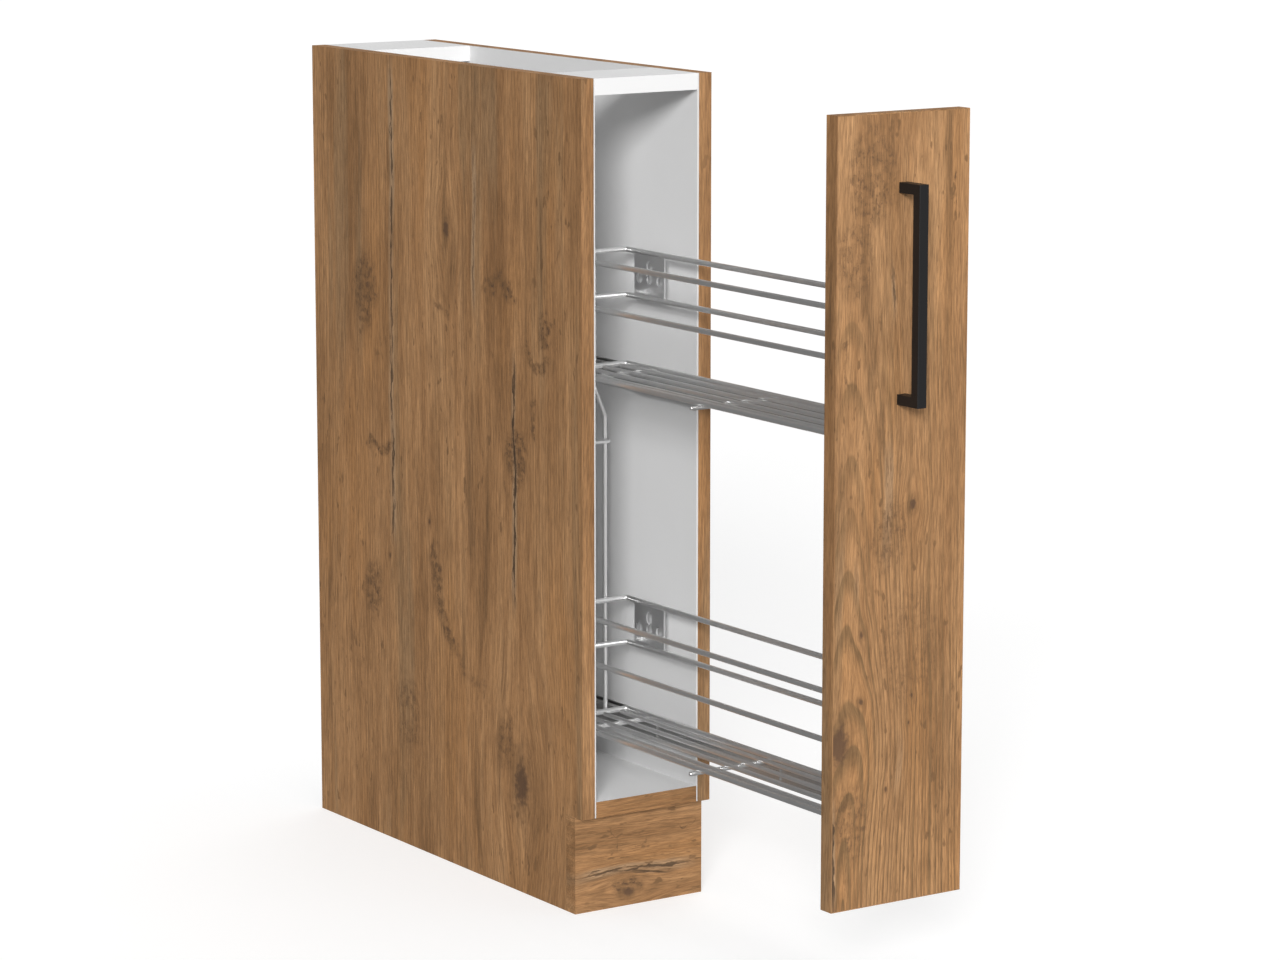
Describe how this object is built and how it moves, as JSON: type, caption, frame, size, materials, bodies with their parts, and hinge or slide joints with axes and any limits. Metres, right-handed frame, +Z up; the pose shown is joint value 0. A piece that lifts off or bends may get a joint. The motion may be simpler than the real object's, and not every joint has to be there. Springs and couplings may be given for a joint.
{
  "type": "pull-out base cabinet",
  "caption": "Narrow kitchen base cabinet with a full-height door on a two-tier wire pull-out, drawn open on ball-bearing slides; the pull-out slides into the carcass.",
  "frame": {"origin": "on the floor, under the middle of the box round the part as drawn open, on the cabinet's centre plane", "axes": "+Z up; +X to the right as seen from the door side; +Y from the door towards the back of the cabinet, so the pull-out opens towards -Y"},
  "size_m": [0.15, 0.9514, 0.82],
  "materials": {
    "oak_decor": "decor foil of rustic oak on chipboard, matt with fine pores",
    "white_melamine": "white melamine skin on chipboard, matt",
    "white_hardboard": "white lacquered thin fibreboard, matt",
    "beech": "fluted beech, raw",
    "zinc_die_cast": "die-cast zinc, raw",
    "zinc_steel": "zinc-plated steel",
    "black_lacquer": "fine matt black powder coat",
    "clear_rubber": "soft translucent rubber",
    "chromed_wire": "satin chrome on drawn steel wire",
    "slide_steel": "cold-rolled steel, bright zinc",
    "bearing_steel": "polished bearing steel",
    "plate_steel": "chromed sheet steel, satin"
  },
  "bodies": {
    "cabinet": {"side_panel_left": "oak_decor", "side_panel_right": "oak_decor", "bottom_panel": "white_melamine", "top_rail_front": "white_melamine", "top_rail_rear": "white_melamine", "back_panel": "white_hardboard", "plinth_board": "oak_decor", "edge_bands_sides": "oak_decor", "edge_band_bottom": "oak_decor", "dowels": "beech", "cam_bolts": "zinc_steel", "cam_locks": "zinc_die_cast", "plinth_brackets": "zinc_steel", "plinth_screws": "zinc_steel", "slide_screws": "zinc_steel", "lower_slide_cabinet_member": "slide_steel", "upper_slide_cabinet_member": "slide_steel"},
    "lower_slide_middle": {"lower_slide_middle_member": "slide_steel"},
    "lower_outer_ball_cage": {"lower_slide_outer_cage": "slide_steel", "lower_slide_outer_balls": "bearing_steel"},
    "lower_inner_ball_cage": {"lower_slide_inner_cage": "slide_steel", "lower_slide_inner_balls": "bearing_steel"},
    "upper_slide_middle": {"upper_slide_middle_member": "slide_steel"},
    "upper_outer_ball_cage": {"upper_slide_outer_cage": "slide_steel", "upper_slide_outer_balls": "bearing_steel"},
    "upper_inner_ball_cage": {"upper_slide_inner_cage": "slide_steel", "upper_slide_inner_balls": "bearing_steel"},
    "pull_out": {"door_bumpers": "clear_rubber", "door_edge_bands": "oak_decor", "door_panel": "oak_decor", "door_plate_screws": "zinc_steel", "front_hoop": "chromed_wire", "front_hoop_crossbar": "chromed_wire", "handle": "black_lacquer", "handle_screws": "zinc_steel", "lower_basket_cross_wires": "chromed_wire", "lower_basket_door_plate": "plate_steel", "lower_basket_floor_frame": "chromed_wire", "lower_basket_floor_wires": "chromed_wire", "lower_basket_mid_rail": "chromed_wire", "lower_basket_rear_plate": "plate_steel", "lower_basket_top_rail": "chromed_wire", "lower_carrier_brackets": "slide_steel", "lower_slide_basket_member": "slide_steel", "rear_hoop": "chromed_wire", "rear_hoop_crossbar": "chromed_wire", "upper_basket_cross_wires": "chromed_wire", "upper_basket_door_plate": "plate_steel", "upper_basket_floor_frame": "chromed_wire", "upper_basket_floor_wires": "chromed_wire", "upper_basket_mid_rail": "chromed_wire", "upper_basket_rear_plate": "plate_steel", "upper_basket_top_rail": "chromed_wire", "upper_carrier_brackets": "slide_steel", "upper_slide_basket_member": "slide_steel"}
  },
  "joints": [
    {"name": "pull_out_slide", "type": "slide", "parent": "cabinet", "child": "pull_out", "axis": [0, -1, 0], "range_m": [-0.3875, 0.0125]},
    {"name": "lower_slide_middle_travel", "type": "slide", "parent": "cabinet", "child": "lower_slide_middle", "axis": [0, -1, 0], "range_m": [-0.19375, 0.00625]},
    {"name": "lower_outer_ball_cage_travel", "type": "slide", "parent": "cabinet", "child": "lower_outer_ball_cage", "axis": [0, -1, 0], "range_m": [-0.29063, 0.00937]},
    {"name": "lower_inner_ball_cage_travel", "type": "slide", "parent": "cabinet", "child": "lower_inner_ball_cage", "axis": [0, -1, 0], "range_m": [-0.09688, 0.00313]},
    {"name": "upper_slide_middle_travel", "type": "slide", "parent": "cabinet", "child": "upper_slide_middle", "axis": [0, -1, 0], "range_m": [-0.19375, 0.00625]},
    {"name": "upper_outer_ball_cage_travel", "type": "slide", "parent": "cabinet", "child": "upper_outer_ball_cage", "axis": [0, -1, 0], "range_m": [-0.29063, 0.00937]},
    {"name": "upper_inner_ball_cage_travel", "type": "slide", "parent": "cabinet", "child": "upper_inner_ball_cage", "axis": [0, -1, 0], "range_m": [-0.09688, 0.00313]}
  ],
  "couplings": [
    {"joint": "lower_slide_middle_travel", "follows": "pull_out_slide", "ratio": 0.5},
    {"joint": "lower_outer_ball_cage_travel", "follows": "pull_out_slide", "ratio": 0.75},
    {"joint": "lower_inner_ball_cage_travel", "follows": "pull_out_slide", "ratio": 0.25},
    {"joint": "upper_slide_middle_travel", "follows": "pull_out_slide", "ratio": 0.5},
    {"joint": "upper_outer_ball_cage_travel", "follows": "pull_out_slide", "ratio": 0.75},
    {"joint": "upper_inner_ball_cage_travel", "follows": "pull_out_slide", "ratio": 0.25}
  ]
}
